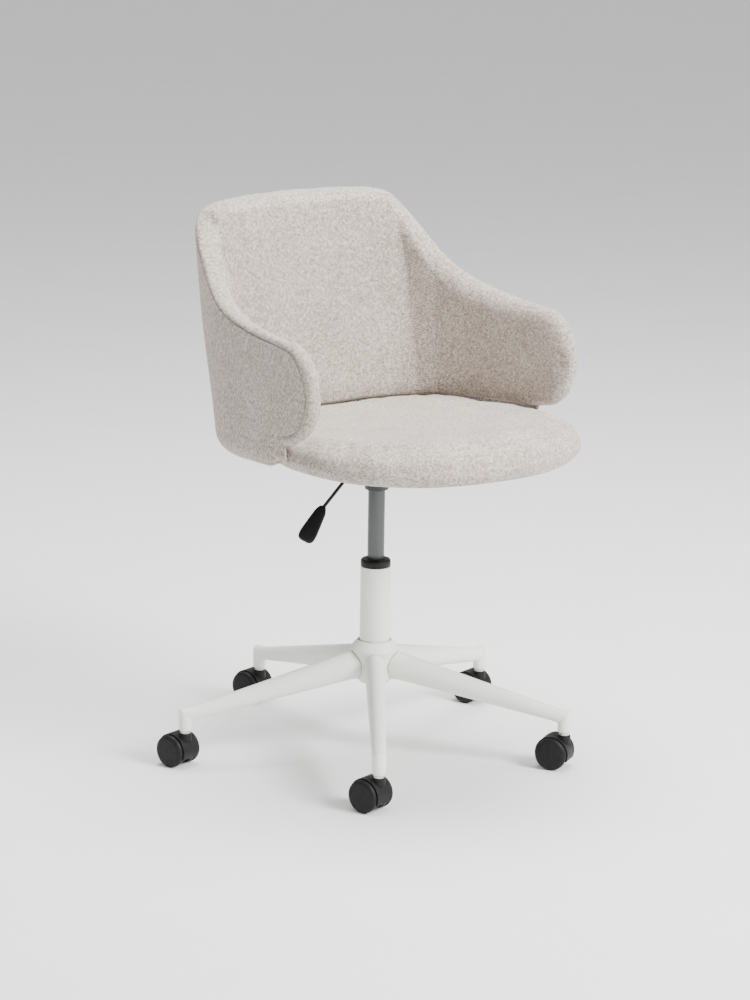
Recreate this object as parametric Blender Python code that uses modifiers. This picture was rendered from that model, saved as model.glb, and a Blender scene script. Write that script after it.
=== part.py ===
"""Upholstered swivel desk chair: five-star base on casters, gas lift, wrap-around shell.

Run with: blender --background --python part.py
Sizes are written in millimetres and turned into metres by MM. The chair faces -Y, +Z is up and the
floor is z = 0. Heights are those of the chair raised to the top of its stroke.
"""
import math

import bmesh
import bpy
from mathutils import Matrix, Vector

MM = 0.001
GAP = 0.3                # clearance between touching pieces

# Placement of the column axis, so that the world origin is under the middle of the chair.
AXIS_X = 3.0
AXIS_Y = -10.0

# Star base
LEG_COUNT = 5
POST_CIRCLE_R = 327.5    # column axis to caster post
POST_R = 11.5
POST_BOTTOM_Z = 62.0
ELBOW_Z = 88.5
LEG_ROOT_R = 28.0
LEG_ROOT_Z = 151.0
LEG_ROOT_HALF_H = 25.0
LEG_ROOT_HALF_W = 15.5
HUB_R = 31.7
HUB_COLLAR_R = 40.5
HUB_BOTTOM_Z = 122.0
HUB_COLLAR_Z = 176.0
HUB_TOP_Z = 190.0
RING_POINTS = 16         # points round a leg's section

# Column and gas spring
TUBE_R = 25.0
TUBE_TOP_Z = 316.0
TUBE_BOTTOM_Z = 118.0
TUBE_WALL = 1.8
BUSH_TOP_Z = 329.0
BUSH_BOTTOM_Z = 228.0
CYLINDER_R = 14.0
CYLINDER_BOTTOM_Z = 244.0
CYLINDER_TOP_Z = 500.0
CYLINDER_BORE_R = 11.0
ROD_R = 5.0
ROD_TOP_Z = 340.0
SOCKET_BOTTOM_Z = 447.0
SOCKET_R = 20.0

# Casters
WHEEL_R = 27.0
WHEEL_INNER_X = 7.0
WHEEL_FACE_X = 18.3      # the wheel is full size outside the hood and slimmer under it
TREAD_R = 25.6
WHEEL_OUTER_X = 27.0
CASTER_TRAIL = 16.0
CASTER_HEADING = math.radians(14.5)
TURNED_CASTER = 4        # this one stands turned a little further
TURNED_HEADING = math.radians(30.0)
STEM_R = 5.0
HOOD_R = 28.9
HOOD_INNER_R = 26.2
HOOD_HALF_W = 17.5
HOOD_TOP_Z = 57.5

# Seat and mechanism
SHELL_BOTTOM_Z = 525.0
PLATE_TOP_Z = 524.2
PLATE_THICK = 3.0
HOUSING_BOTTOM_Z = 497.0
UNDER_COVER_Z = 524.5
BOARD_Z = 527.8
BOARD_THICK = 12.0
SEAT_HALF_W = 254.5
SEAT_FRONT_DEPTH = 226.0
SEAT_CENTRE_Y = -130.0
SEAT_EXPONENT = 2.2
SIDE_DROP = 10.0          # the rounded lower side of the cushion starts this far under its top
CUSHION_TOP = [(60, 1.5), (26, 1.0), (12, -1.0), (5, -4.0), (1.0, -8.5)]    # (inset, rise)
BOARD_INSET = 28.0
FRONT_STEPS = 12
SIDE_STEPS = 14
SEAT_TOP_AT_ARMS = 575.0
SEAT_SLOPE = 0.057        # the seat falls towards the back
JOIN_Y = -111.0          # where the arms meet the sides of the seat
BOLT_SPACING_X = 140.0
BOLT_SPACING_Y = 110.0

# Lever
PIVOT_X = -20.0
PIVOT_Z = 509.0
LEVER_ROD_R = 3.5
GRIP_START = (-127.0, -20.0, 434.0)    # where the grip's neck begins
GRIP_DIRECTION = (-0.66, -0.12, -0.74)

# Shell: outer face of the half shell at three heights, from the back centre round to the arm.
LOW_Z, MID_Z, HIGH_Z = 544.0, 704.0, 894.0
LOW_PLAN = [(0, 188), (85, 186), (155, 174), (210, 148), (246, 108),
            (264, 60), (272, -15), (274, -111), (272, -200)]
MID_PLAN = [(0, 216), (88, 216), (165, 210), (218, 184), (246, 128),
            (262, 70), (272, -10), (276, -111), (275, -200)]
HIGH_PLAN = [(0, 254), (88, 251), (150, 243), (205, 230), (236, 165),
             (262, 90), (272, 0), (275, -105), (275, -200)]
# Height of the top edge at stations along that plan (station number, height).
RIM = [(0.0, 915), (1.1, 913), (2.1, 909), (2.75, 899), (3.0, 892), (3.25, 878), (3.65, 841),
       (4.05, 806), (4.55, 782), (5.2, 764), (5.95, 751), (6.6, 744), (7.0, 741)]
ARM_STATION = 7.0        # station of the seat joint and the centre of the rounded arm end
NOSE_REACH = 0.86        # how far the arm end reaches past it, in stations
NOSE_Z = 659.0
NOSE_UP = 82.0
NOSE_DOWN = 76.0
CREASE_STATION = 4.35    # inner seam between back pad and arm pad
CREASE_GAP = 0.07        # each pad stops this many stations short of it
COVER_THICK = 4.0
COVER_GAP = 0.8
CORE_THICK = 8.0
PAD_THICK = 22.0
PAD_LIFT = 3.5           # the pads stop this far above the cushion
PAD_CLEARANCE = 3.2      # glue line between the rigid core and the foam pads
CURL_TOP_Z = 555.0       # below this height the sides round in under the seat
CURL_R = 33.0
SHELL_DEPTH = 16.6       # outer face to the cushion inside the rigid core
STATION_STEP = 0.02
RIM_TUCK = 11.0          # the rigid core stops this far inside the padded edge


# ---------------------------------------------------------------------------------------- tools

def clear_scene():
    for obj in list(bpy.data.objects):
        bpy.data.objects.remove(obj, do_unlink=True)


def new_collection(name):
    collection = bpy.data.collections.new(name)
    bpy.context.scene.collection.children.link(collection)
    return collection


def make_material(name, colour, roughness, metallic=0.0):
    material = bpy.data.materials.new(name)
    material.use_nodes = True
    shader = material.node_tree.nodes["Principled BSDF"]
    shader.inputs["Base Color"].default_value = (*colour, 1.0)
    shader.inputs["Roughness"].default_value = roughness
    shader.inputs["Metallic"].default_value = metallic
    return material


def add_empty(name, location, parent=None):
    empty = bpy.data.objects.new(name, None)
    empty.empty_display_size = 0.03
    empty.location = Vector(location) * MM
    empty.parent = parent
    PARTS.objects.link(empty)
    return empty


def add_object(name, mesh, material, parent, location=(0, 0, 0)):
    mesh.materials.append(material)
    obj = bpy.data.objects.new(name, mesh)
    obj.location = Vector(location) * MM
    obj.parent = parent
    PARTS.objects.link(obj)
    return obj


def add_turned(name, profile, material, parent, location=(0, 0, 0), ring=False, steps=24):
    """Turn (radius, z) points about Z. The points run down the outer side; a ring closes on itself."""
    mesh = bpy.data.meshes.new(name)
    points = [(radius * MM, 0.0, z * MM) for radius, z in profile]
    edges = [(i, i + 1) for i in range(len(points) - 1)]
    if ring:
        edges.append((len(points) - 1, 0))
    mesh.from_pydata(points, edges, [])
    obj = add_object(name, mesh, material, parent, location)
    screw = obj.modifiers.new("turn", 'SCREW')
    screw.steps = steps
    screw.render_steps = steps
    screw.use_merge_vertices = True
    screw.merge_threshold = 0.00001
    return obj


def add_box(name, size, centre, material, parent, bevel=0.0):
    mesh = bpy.data.meshes.new(name)
    bm = bmesh.new()
    bmesh.ops.create_cube(bm, size=1.0)
    bmesh.ops.scale(bm, vec=Vector(size) * MM, verts=bm.verts)
    bm.to_mesh(mesh)
    bm.free()
    obj = add_object(name, mesh, material, parent, centre)
    if bevel:
        rounding = obj.modifiers.new("bevel", 'BEVEL')
        rounding.width = bevel * MM
        rounding.segments = 2
    return obj


def add_cylinder(name, radius, length, centre, axis, material, parent, sides=24):
    """A plain round bar along the X, Y or Z axis."""
    mesh = bpy.data.meshes.new(name)
    bm = bmesh.new()
    bmesh.ops.create_cone(bm, cap_ends=True, segments=sides, radius1=radius * MM,
                          radius2=radius * MM, depth=length * MM)
    turn = {'X': Matrix.Rotation(math.pi / 2, 3, 'Y'), 'Y': Matrix.Rotation(math.pi / 2, 3, 'X'),
            'Z': Matrix.Identity(3)}[axis]
    bmesh.ops.rotate(bm, cent=(0, 0, 0), matrix=turn, verts=bm.verts)
    bm.to_mesh(mesh)
    bm.free()
    return add_object(name, mesh, material, parent, centre)


def make_cutter(obj):
    """Turn a solid into a hidden wire cutter."""
    PARTS.objects.unlink(obj)
    CUTTERS.objects.link(obj)
    obj.hide_render = True
    obj.display_type = 'WIRE'
    obj.name = "cut_" + obj.name
    return obj


def combine(obj, other, operation='DIFFERENCE'):
    boolean = obj.modifiers.new(operation.lower(), 'BOOLEAN')
    boolean.operation = operation
    boolean.object = make_cutter(other)


def add_loft(name, rings, material, parent):
    """Skin a row of rings that have the same number of points, with flat ends."""
    mesh = bpy.data.meshes.new(name)
    bm = bmesh.new()
    rows = [[bm.verts.new(Vector(point) * MM) for point in ring] for ring in rings]
    count = len(rows[0])
    for row, following in zip(rows, rows[1:]):
        for i in range(count):
            j = (i + 1) % count
            bm.faces.new((row[i], row[j], following[j], following[i]))
    bm.faces.new(list(reversed(rows[0])))
    bm.faces.new(rows[-1])
    if bm.calc_volume(signed=True) < 0:
        bmesh.ops.reverse_faces(bm, faces=bm.faces)
    bm.to_mesh(mesh)
    bm.free()
    return add_object(name, mesh, material, parent)


def shade_round(obj):
    if obj.type == 'MESH' and obj.data.polygons:
        obj.data.shade_smooth()
        obj.data.set_sharp_from_angle(angle=math.radians(35))


# ------------------------------------------------------------------------------------ star base

def build_hub(parent):
    bore_r = TUBE_R + GAP
    profile = [
        (bore_r + 2.0, HUB_TOP_Z), (HUB_COLLAR_R - 11.0, HUB_TOP_Z - 0.5), (HUB_COLLAR_R - 1.0, HUB_COLLAR_Z + 2.5),
        (HUB_COLLAR_R, HUB_COLLAR_Z), (HUB_COLLAR_R - 1.0, HUB_COLLAR_Z - 4), (HUB_R + 3, HUB_COLLAR_Z - 15),
        (HUB_R, HUB_COLLAR_Z - 28), (HUB_R - 1.0, HUB_BOTTOM_Z + 5), (HUB_R - 4.0, HUB_BOTTOM_Z),
        (bore_r, HUB_BOTTOM_Z), (bore_r, HUB_TOP_Z - 6.0), (bore_r + 2.0, HUB_TOP_Z - 4.0)]
    return add_turned("base_hub", profile, POWDER_COAT, parent, ring=True, steps=30)


def leg_ring(angle, reach, z, up, half_w, half_h):
    """An oval section of a leg; up is its long axis in the leg's own vertical plane."""
    outward = Vector((math.sin(angle), -math.cos(angle), 0))
    sideways = Vector((math.cos(angle), math.sin(angle), 0))
    tall = (outward * up[0] + Vector((0, 0, up[1]))) * half_h
    centre = outward * reach + Vector((0, 0, z))
    ring = []
    for i in range(RING_POINTS):
        turn = 2 * math.pi * i / RING_POINTS
        ring.append(centre + sideways * (half_w * math.cos(turn)) + tall * math.sin(turn))
    return ring


def build_leg(number, angle, parent):
    """A tapered oval tube with a mitred elbow and a short upright post for the caster stem."""
    mitre = math.sqrt(2.0)
    rings = [
        leg_ring(angle, LEG_ROOT_R, LEG_ROOT_Z, (0, 1), LEG_ROOT_HALF_W, LEG_ROOT_HALF_H),
        leg_ring(angle, POST_CIRCLE_R - 16, ELBOW_Z + 1.5, (0, 1), POST_R, POST_R),
        leg_ring(angle, POST_CIRCLE_R - 0.5, ELBOW_Z - 0.5, (1 / mitre, 1 / mitre), POST_R, POST_R * 1.36),
        leg_ring(angle, POST_CIRCLE_R, ELBOW_Z - 15, (1, 0), POST_R, POST_R),
        leg_ring(angle, POST_CIRCLE_R, POST_BOTTOM_Z, (1, 0), POST_R - 0.4, POST_R - 0.4)]
    leg = add_loft(f"leg_{number}", rings, POWDER_COAT, parent)
    profile = [(0, HUB_TOP_Z), (HUB_COLLAR_R + GAP, HUB_TOP_Z), (HUB_COLLAR_R + GAP, HUB_COLLAR_Z - 4),
               (HUB_R + 3.3, HUB_COLLAR_Z - 15.3), (HUB_R + GAP, HUB_COLLAR_Z - 28), (HUB_R + GAP, 60), (0, 60)]
    hub_space = add_turned(f"hub_space_{number}", profile, POWDER_COAT, parent, steps=30)
    combine(leg, hub_space)
    x = POST_CIRCLE_R * math.sin(angle)
    y = -POST_CIRCLE_R * math.cos(angle)
    stem_hole = add_cylinder(f"stem_hole_{number}", STEM_R + 0.4, 60, (x, y, POST_BOTTOM_Z), 'Z',
                             POWDER_COAT, parent, sides=20)
    stem_hole.rotation_euler.z = angle + 0.05
    combine(leg, stem_hole)
    return x, y


def build_base(parent):
    build_hub(parent)
    for number in range(1, LEG_COUNT + 1):
        angle = math.pi + 2 * math.pi * (number - 1) / LEG_COUNT
        x, y = build_leg(number, angle, parent)
        build_caster(number, x, y, parent)


# -------------------------------------------------------------------------------------- casters

def arc(radius, start, stop, count, centre_z=0.0):
    """Points (y, z) on an arc; angles in degrees from +Y towards +Z."""
    points = []
    for i in range(count):
        turn = math.radians(start + (stop - start) * i / (count - 1))
        points.append((radius * math.cos(turn), centre_z + radius * math.sin(turn)))
    return points


def add_side_plate(name, outline, half_w, material, parent, location):
    """A flat outline in the Y-Z plane with a width along X."""
    rings = [[(x, y, z) for y, z in outline] for x in (-half_w, half_w)]
    obj = add_loft(name, rings, material, parent)
    obj.location = Vector(location) * MM
    return obj


def build_hood(number, parent):
    """A drum over the treads with a middle web, bored for the stem and the axle."""
    axle = (0, CASTER_TRAIL, WHEEL_R)
    drum = arc(HOOD_R, -25, 205, 13) + arc(HOOD_INNER_R, 205, -25, 13)
    web = arc(HOOD_R - 1.4, -22, 202, 10) + arc(12.0, 215, 325, 5)
    hood = add_side_plate(f"caster_{number}_hood", drum, HOOD_HALF_W, BLACK_PLASTIC, parent, axle)
    combine(hood, add_side_plate(f"web_{number}", web, WHEEL_INNER_X - 0.5, BLACK_PLASTIC, parent, axle),
            'UNION')
    boss_profile = [(0, HOOD_TOP_Z), (9.0, HOOD_TOP_Z), (10.5, HOOD_TOP_Z - 2), (10.5, 38), (0, 38)]
    boss = add_turned(f"boss_{number}", boss_profile, BLACK_PLASTIC, parent, steps=14)
    for side in (-1, 1):
        clear_x = side * (WHEEL_INNER_X - 0.5 + 20)
        room = add_cylinder(f"wheel_room_{number}_{side}", HOOD_INNER_R + 0.4, 40,
                            (clear_x, CASTER_TRAIL, WHEEL_R), 'X', BLACK_PLASTIC, parent, sides=24)
        combine(boss, room)
    combine(hood, boss, 'UNION')
    combine(hood, add_cylinder(f"swivel_bore_{number}", STEM_R + 0.3, 60, (0, 0, 67), 'Z',
                               BLACK_PLASTIC, parent, sides=12))
    combine(hood, add_cylinder(f"axle_bore_{number}", 3.4, 40, axle, 'X', BLACK_PLASTIC, parent,
                               sides=12))


def build_wheel(number, side, parent):
    """A tread that runs under the hood and a larger outer disc, bored for the axle."""
    width = WHEEL_OUTER_X - WHEEL_INNER_X
    step = WHEEL_FACE_X - WHEEL_INNER_X
    profile = [(3.4, width), (WHEEL_R - 5.0, width), (WHEEL_R, width - 4.0), (WHEEL_R, step),
               (TREAD_R, step), (TREAD_R, 0), (3.4, 0)]
    name = f"caster_{number}_wheel_{'left' if side < 0 else 'right'}"
    wheel = add_turned(name, profile, BLACK_PLASTIC, parent,
                       (side * WHEEL_INNER_X, CASTER_TRAIL, WHEEL_R), ring=True, steps=24)
    wheel.rotation_euler.y = side * math.pi / 2


def build_caster(number, x, y, parent):
    stem_profile = [(0, 88), (STEM_R, 87), (STEM_R, POST_BOTTOM_Z - GAP),
                    (9.0, POST_BOTTOM_Z - GAP), (9.0, HOOD_TOP_Z + GAP), (STEM_R, HOOD_TOP_Z + GAP),
                    (STEM_R, 40), (0, 40)]
    add_turned(f"caster_{number}_stem", stem_profile, STEEL, parent, (x, y, 0), steps=12)
    swivel = add_empty(f"caster_{number}_swivel", (x, y, 0), parent)
    swivel.rotation_euler.z = TURNED_HEADING if number == TURNED_CASTER else CASTER_HEADING
    build_hood(number, swivel)
    add_cylinder(f"caster_{number}_axle", 3.0, 2 * WHEEL_OUTER_X - 6, (0, CASTER_TRAIL, WHEEL_R), 'X',
                 STEEL, swivel, sides=12)
    for side in (-1, 1):
        build_wheel(number, side, swivel)


# --------------------------------------------------------------------------- column and gas lift

def build_column(parent):
    tube_profile = [
        (TUBE_R - TUBE_WALL, TUBE_TOP_Z), (TUBE_R - 0.4, TUBE_TOP_Z), (TUBE_R, TUBE_TOP_Z - 1),
        (TUBE_R, TUBE_BOTTOM_Z), (ROD_R + 0.8, TUBE_BOTTOM_Z), (ROD_R + 0.8, TUBE_BOTTOM_Z + 3),
        (TUBE_R - TUBE_WALL, TUBE_BOTTOM_Z + 3)]
    add_turned("column_tube", tube_profile, POWDER_COAT, parent, ring=True, steps=28)
    sleeve_r = TUBE_R - TUBE_WALL - GAP
    bush_profile = [
        (CYLINDER_R + 0.35, BUSH_TOP_Z), (TUBE_R - 2.5, BUSH_TOP_Z), (TUBE_R, BUSH_TOP_Z - 2.5),
        (TUBE_R, TUBE_TOP_Z + GAP), (sleeve_r, TUBE_TOP_Z + GAP), (sleeve_r, BUSH_BOTTOM_Z),
        (CYLINDER_R + 0.35, BUSH_BOTTOM_Z)]
    add_turned("guide_bush", bush_profile, BLACK_PLASTIC, parent, ring=True, steps=28)
    bearing_z = TUBE_BOTTOM_Z + 3 + GAP
    bearing_profile = [(ROD_R + 0.8, bearing_z + 6), (13, bearing_z + 6), (14, bearing_z + 5),
                       (14, bearing_z + 1), (13, bearing_z), (ROD_R + 0.8, bearing_z)]
    add_turned("thrust_bearing", bearing_profile, STEEL, parent, ring=True, steps=20)
    return bearing_z + 6


def build_spindle(parent, bearing_top_z):
    shoulder_z = bearing_top_z + GAP
    rod_profile = [
        (0, ROD_TOP_Z), (9.5, ROD_TOP_Z), (10.4, ROD_TOP_Z - 1), (10.4, ROD_TOP_Z - 9),
        (9.5, ROD_TOP_Z - 10), (ROD_R, ROD_TOP_Z - 10), (ROD_R, shoulder_z + 4), (9, shoulder_z + 4),
        (9, shoulder_z), (ROD_R, shoulder_z), (ROD_R, TUBE_BOTTOM_Z - 2.5), (ROD_R - 1, TUBE_BOTTOM_Z - 3.5),
        (0, TUBE_BOTTOM_Z - 3.5)]
    add_turned("piston_rod", rod_profile, STEEL, parent, steps=20)
    clip_profile = [(ROD_R + 0.2, TUBE_BOTTOM_Z - GAP), (10, TUBE_BOTTOM_Z - GAP),
                    (10, TUBE_BOTTOM_Z - 2), (ROD_R + 0.2, TUBE_BOTTOM_Z - 2)]
    add_turned("retaining_clip", clip_profile, STEEL, parent, ring=True, steps=16)


def build_cylinder(parent):
    bore_top_z = ROD_TOP_Z + 110
    taper_z = SOCKET_BOTTOM_Z - 2
    profile = [
        (4.5, CYLINDER_TOP_Z), (12.4, CYLINDER_TOP_Z), (13.4, CYLINDER_TOP_Z - 2), (CYLINDER_R, taper_z),
        (CYLINDER_R, CYLINDER_BOTTOM_Z), (CYLINDER_BORE_R, CYLINDER_BOTTOM_Z),
        (CYLINDER_BORE_R, bore_top_z), (4.5, bore_top_z + 2)]
    add_turned("gas_cylinder", profile, SATIN_METAL, parent, ring=True)
    gland_r = CYLINDER_BORE_R - 0.25
    gland_profile = [(ROD_R + 0.4, CYLINDER_BOTTOM_Z + 14), (gland_r, CYLINDER_BOTTOM_Z + 14),
                     (gland_r, CYLINDER_BOTTOM_Z + 1), (ROD_R + 0.4, CYLINDER_BOTTOM_Z + 1)]
    add_turned("rod_gland", gland_profile, BLACK_PLASTIC, parent, ring=True, steps=16)
    button_top_z = PIVOT_Z - LEVER_ROD_R - GAP
    button_profile = [(0, button_top_z), (3.2, button_top_z), (4.0, button_top_z - 1),
                      (4.0, button_top_z - 40), (0, button_top_z - 40)]
    add_turned("release_button", button_profile, STEEL, parent, steps=14)


# ----------------------------------------------------------------------------- seat and mechanism

def build_mechanism(parent):
    socket_profile = [
        (CYLINDER_R + 0.35, HOUSING_BOTTOM_Z - GAP), (SOCKET_R, HOUSING_BOTTOM_Z - GAP),
        (SOCKET_R, SOCKET_BOTTOM_Z + 1), (SOCKET_R - 1, SOCKET_BOTTOM_Z), (CYLINDER_R + 0.35, SOCKET_BOTTOM_Z)]
    add_turned("taper_socket", socket_profile, BLACK_METAL, parent, ring=True)
    housing_top_z = PLATE_TOP_Z - PLATE_THICK - GAP
    height = housing_top_z - HOUSING_BOTTOM_Z
    middle_z = (housing_top_z + HOUSING_BOTTOM_Z) / 2
    housing = add_box("mechanism_housing", (66, 54, height), (6, 0, middle_z), BLACK_METAL, parent)
    combine(housing, add_box("housing_room", (66, 48, height), (2, 0, middle_z + 3), BLACK_METAL, parent))
    combine(housing, add_cylinder("housing_hole", CYLINDER_R + 0.6, 20, (0, 0, HOUSING_BOTTOM_Z), 'Z',
                                  BLACK_METAL, parent, sides=32))
    combine(housing, add_cylinder("pivot_hole", 2.9, 80, (PIVOT_X, 0, PIVOT_Z), 'Y', BLACK_METAL, parent,
                                  sides=16))
    add_cylinder("lever_pivot_pin", 2.5, 60, (PIVOT_X, 0, PIVOT_Z), 'Y', STEEL, parent, sides=16)
    plate = add_box("seat_plate", (190, 150, PLATE_THICK), (0, 0, PLATE_TOP_Z - PLATE_THICK / 2),
                    BLACK_METAL, parent)
    corner = 0
    for x in (-BOLT_SPACING_X / 2, BOLT_SPACING_X / 2):
        for y in (-BOLT_SPACING_Y / 2, BOLT_SPACING_Y / 2):
            corner += 1
            combine(plate, bolt_hole(f"plate_hole_{corner}", x, y, parent))
            head_z = PLATE_TOP_Z - PLATE_THICK - GAP
            profile = [(0, BOARD_Z + 9), (2.9, BOARD_Z + 9), (2.9, head_z), (6.0, head_z),
                       (6.0, head_z - 2.5), (4.0, head_z - 4), (0, head_z - 4)]
            add_turned(f"plate_bolt_{corner}", profile, STEEL, parent, (x, y, 0), steps=12)


def bolt_hole(name, x, y, parent):
    return add_cylinder(name, 3.4, 60, (x, y, PLATE_TOP_Z), 'Z', BLACK_METAL, parent, sides=12)


def build_lever(parent):
    """A bent rod that pivots in the housing, with its inner end over the release button."""
    bend = Vector((PIVOT_X - 4, 0, PIVOT_Z))
    grip_start = Vector(GRIP_START)
    slope = (grip_start - bend).normalized()
    route = [Vector((5, 0, PIVOT_Z)), bend, bend + slope * 5 + Vector((-0.6, 0, 1.2)),
             grip_start + slope * 14]
    curve = bpy.data.curves.new("lever_rod", 'CURVE')
    curve.dimensions = '3D'
    curve.bevel_depth = LEVER_ROD_R * MM
    curve.bevel_resolution = 2
    curve.use_fill_caps = True
    line = curve.splines.new('POLY')
    line.points.add(len(route) - 1)
    for point, place in zip(line.points, route):
        point.co = (*(place * MM), 1.0)
    guide = bpy.data.objects.new("lever_rod_curve", curve)
    PARTS.objects.link(guide)
    evaluated = guide.evaluated_get(bpy.context.evaluated_depsgraph_get())
    mesh = bpy.data.meshes.new_from_object(evaluated)
    bpy.data.objects.remove(guide, do_unlink=True)
    weld_mesh(mesh)
    mesh.materials.clear()
    rod = add_object("lever_rod", mesh, BLACK_METAL, parent)
    combine(rod, add_cylinder("rod_pin_hole", 2.8, 20, (PIVOT_X, 0, PIVOT_Z), 'Y', BLACK_METAL, parent,
                              sides=16))
    build_handle(parent, grip_start, slope)


def weld_mesh(mesh):
    bm = bmesh.new()
    bm.from_mesh(mesh)
    bmesh.ops.remove_doubles(bm, verts=bm.verts, dist=0.00001)
    bm.to_mesh(mesh)
    bm.free()


def build_handle(parent, start, rod_slope):
    """A flared paddle with a socket for the rod end: (distance, half width, half thickness)."""
    slope = Vector(GRIP_DIRECTION).normalized()
    sections = [(-4, 5.5, 5.2), (3, 8.6, 5.8), (15, 10.6, 6.2), (35, 13.0, 6.2), (50, 14.2, 5.6),
                (58, 12.5, 4.6), (62, 7.5, 2.6)]
    across = slope.cross(Vector((0, 0, 1))).normalized()
    upward = across.cross(slope)
    rings = []
    for distance, half_w, half_t in sections:
        ring = []
        for i in range(12):
            turn = 2 * math.pi * i / 12
            ring.append(start + slope * distance + across * (half_w * math.cos(turn))
                        + upward * (half_t * math.sin(turn)))
        rings.append(ring)
    handle = add_loft("lever_handle", rings, BLACK_PLASTIC, parent)
    socket = add_cylinder("handle_socket", LEVER_ROD_R + 0.4, 60, start - rod_slope * 15, 'Z', BLACK_PLASTIC,
                          parent, sides=16)
    socket.rotation_euler = rod_slope.to_track_quat('Z', 'Y').to_euler()
    combine(handle, socket)


def seat_top(y):
    return SEAT_TOP_AT_ARMS - SEAT_SLOPE * (y - JOIN_Y)


def seat_ring(inset, height, side_depth, side_height):
    """Closed ring of the seat: the free front by inset, the part inside the shell by depth."""
    half = []
    for i in range(FRONT_STEPS + 1):
        turn = math.pi / 2 * i / FRONT_STEPS
        power = 2.0 / SEAT_EXPONENT
        x = (SEAT_HALF_W - inset) * math.sin(turn) ** power
        y = SEAT_CENTRE_Y - (SEAT_FRONT_DEPTH - inset) * math.cos(turn) ** power
        half.append((x, y, height(y)))
    for i in range(1, SIDE_STEPS + 1):
        station = ARM_STATION * (1 - i / SIDE_STEPS)
        outer_y = plan_point(station, LOW_Z).y
        z = side_height(outer_y)
        flat = inward(station, z, side_depth)
        half.append((flat.x, flat.y, z))
    return half + [(-x, y, z) for x, y, z in reversed(half[1:-1])]


def flat_ring(inset, z):
    """Level ring for the board and the underside."""
    return seat_ring(inset, lambda y: z, SHELL_DEPTH + inset, lambda y: z)


def top_ring(inset, rise):
    """Ring on the sloping top of the cushion."""
    def height(y):
        return seat_top(y) + rise
    return seat_ring(inset, height, SHELL_DEPTH + inset, height)


def side_ring(turn):
    """Ring on the rounded lower side; inside the shell it follows the core's inner face."""
    inner_r = CURL_R - SHELL_DEPTH
    inset = CURL_R * (1 - math.cos(turn))
    z = CURL_TOP_Z - CURL_R * math.sin(turn)
    inner_z = CURL_TOP_Z - inner_r * math.sin(turn)
    depth = CURL_R - inner_r * math.cos(turn)
    return seat_ring(inset, lambda y: z, depth, lambda y: min(inner_z, seat_top(y) - SIDE_DROP))


def build_seat(parent):
    """Cushion over a plywood board, closed below by a thin fabric panel."""
    board_top_z = BOARD_Z + BOARD_THICK
    last_turn = math.asin((CURL_TOP_Z - UNDER_COVER_Z) / CURL_R)
    rings = [top_ring(inset, rise) for inset, rise in CUSHION_TOP]
    rings += [side_ring(last_turn * share) for share in (0.0, 0.35, 0.7, 1.0)]
    under_inset = CURL_R * (1 - math.cos(last_turn))
    rings.append(flat_ring(under_inset + 0.5, UNDER_COVER_Z))
    rings.append(flat_ring(BOARD_INSET, UNDER_COVER_Z))
    rings.append(flat_ring(BOARD_INSET, board_top_z + GAP))
    add_loft("seat_cushion", rings, FABRIC, parent)
    edge = BOARD_INSET + 0.5
    board = add_loft("seat_board", [flat_ring(edge, z) for z in (BOARD_Z, board_top_z)], PLYWOOD, parent)
    cover = add_loft("seat_under_cover", [flat_ring(edge, z) for z in (UNDER_COVER_Z, BOARD_Z - GAP)],
                     FABRIC, parent)
    corner = 0
    for x in (-BOLT_SPACING_X / 2, BOLT_SPACING_X / 2):
        for y in (-BOLT_SPACING_Y / 2, BOLT_SPACING_Y / 2):
            corner += 1
            combine(board, bolt_hole(f"board_hole_{corner}", x, y, parent))
            combine(cover, bolt_hole(f"cover_hole_{corner}", x, y, parent))


# ---------------------------------------------------------------------------------------- shell

def along_plan(points, station):
    """Smooth curve through the plan points, mirrored at the back centre."""
    first = (-points[1][0], points[1][1])
    last = (2 * points[-1][0] - points[-2][0], 2 * points[-1][1] - points[-2][1])
    row = [Vector(p) for p in (first, *points, last)]
    station = min(max(station, 0.0), len(points) - 1.0001)
    i = int(station)
    t = station - i
    a, b, c, d = row[i:i + 4]
    return 0.5 * (2 * b + (c - a) * t + (2 * a - 5 * b + 4 * c - d) * t * t + (3 * b - a - 3 * c + d) * t ** 3)


def plan_point(station, z):
    """Outer face of the shell at a station and a height: a parabola through the three plans."""
    low = (z - MID_Z) * (z - HIGH_Z) / ((LOW_Z - MID_Z) * (LOW_Z - HIGH_Z))
    mid = (z - LOW_Z) * (z - HIGH_Z) / ((MID_Z - LOW_Z) * (MID_Z - HIGH_Z))
    high = (z - LOW_Z) * (z - MID_Z) / ((HIGH_Z - LOW_Z) * (HIGH_Z - MID_Z))
    return (along_plan(LOW_PLAN, station) * low + along_plan(MID_PLAN, station) * mid
            + along_plan(HIGH_PLAN, station) * high)


def outward_at(station, z):
    """Unit plan vector pointing out of the shell."""
    if station < STATION_STEP:
        return Vector((0.0, 1.0))
    along = plan_point(station + STATION_STEP, z) - plan_point(station - STATION_STEP, z)
    along.normalize()
    return Vector((-along.y, along.x))


def inward(station, z, depth):
    """Plan point that far inside the unrounded outer face."""
    return plan_point(station, z) - outward_at(station, z) * depth


def shell_point(station, z, depth):
    """The point that far inside the outer face, whose lower edge rounds in under the seat."""
    turn = math.asin(max(0.0, CURL_TOP_Z - z) / CURL_R)
    level = CURL_R - (CURL_R - depth) * math.cos(turn)
    flat = inward(station, z, level)
    return Vector((flat.x, flat.y, z + depth * math.sin(turn)))


def rim_height(station):
    for (s0, z0), (s1, z1) in zip(RIM, RIM[1:]):
        if station <= s1:
            t = (station - s0) / (s1 - s0)
            return z0 + (z1 - z0) * t
    return RIM[-1][1]


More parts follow.
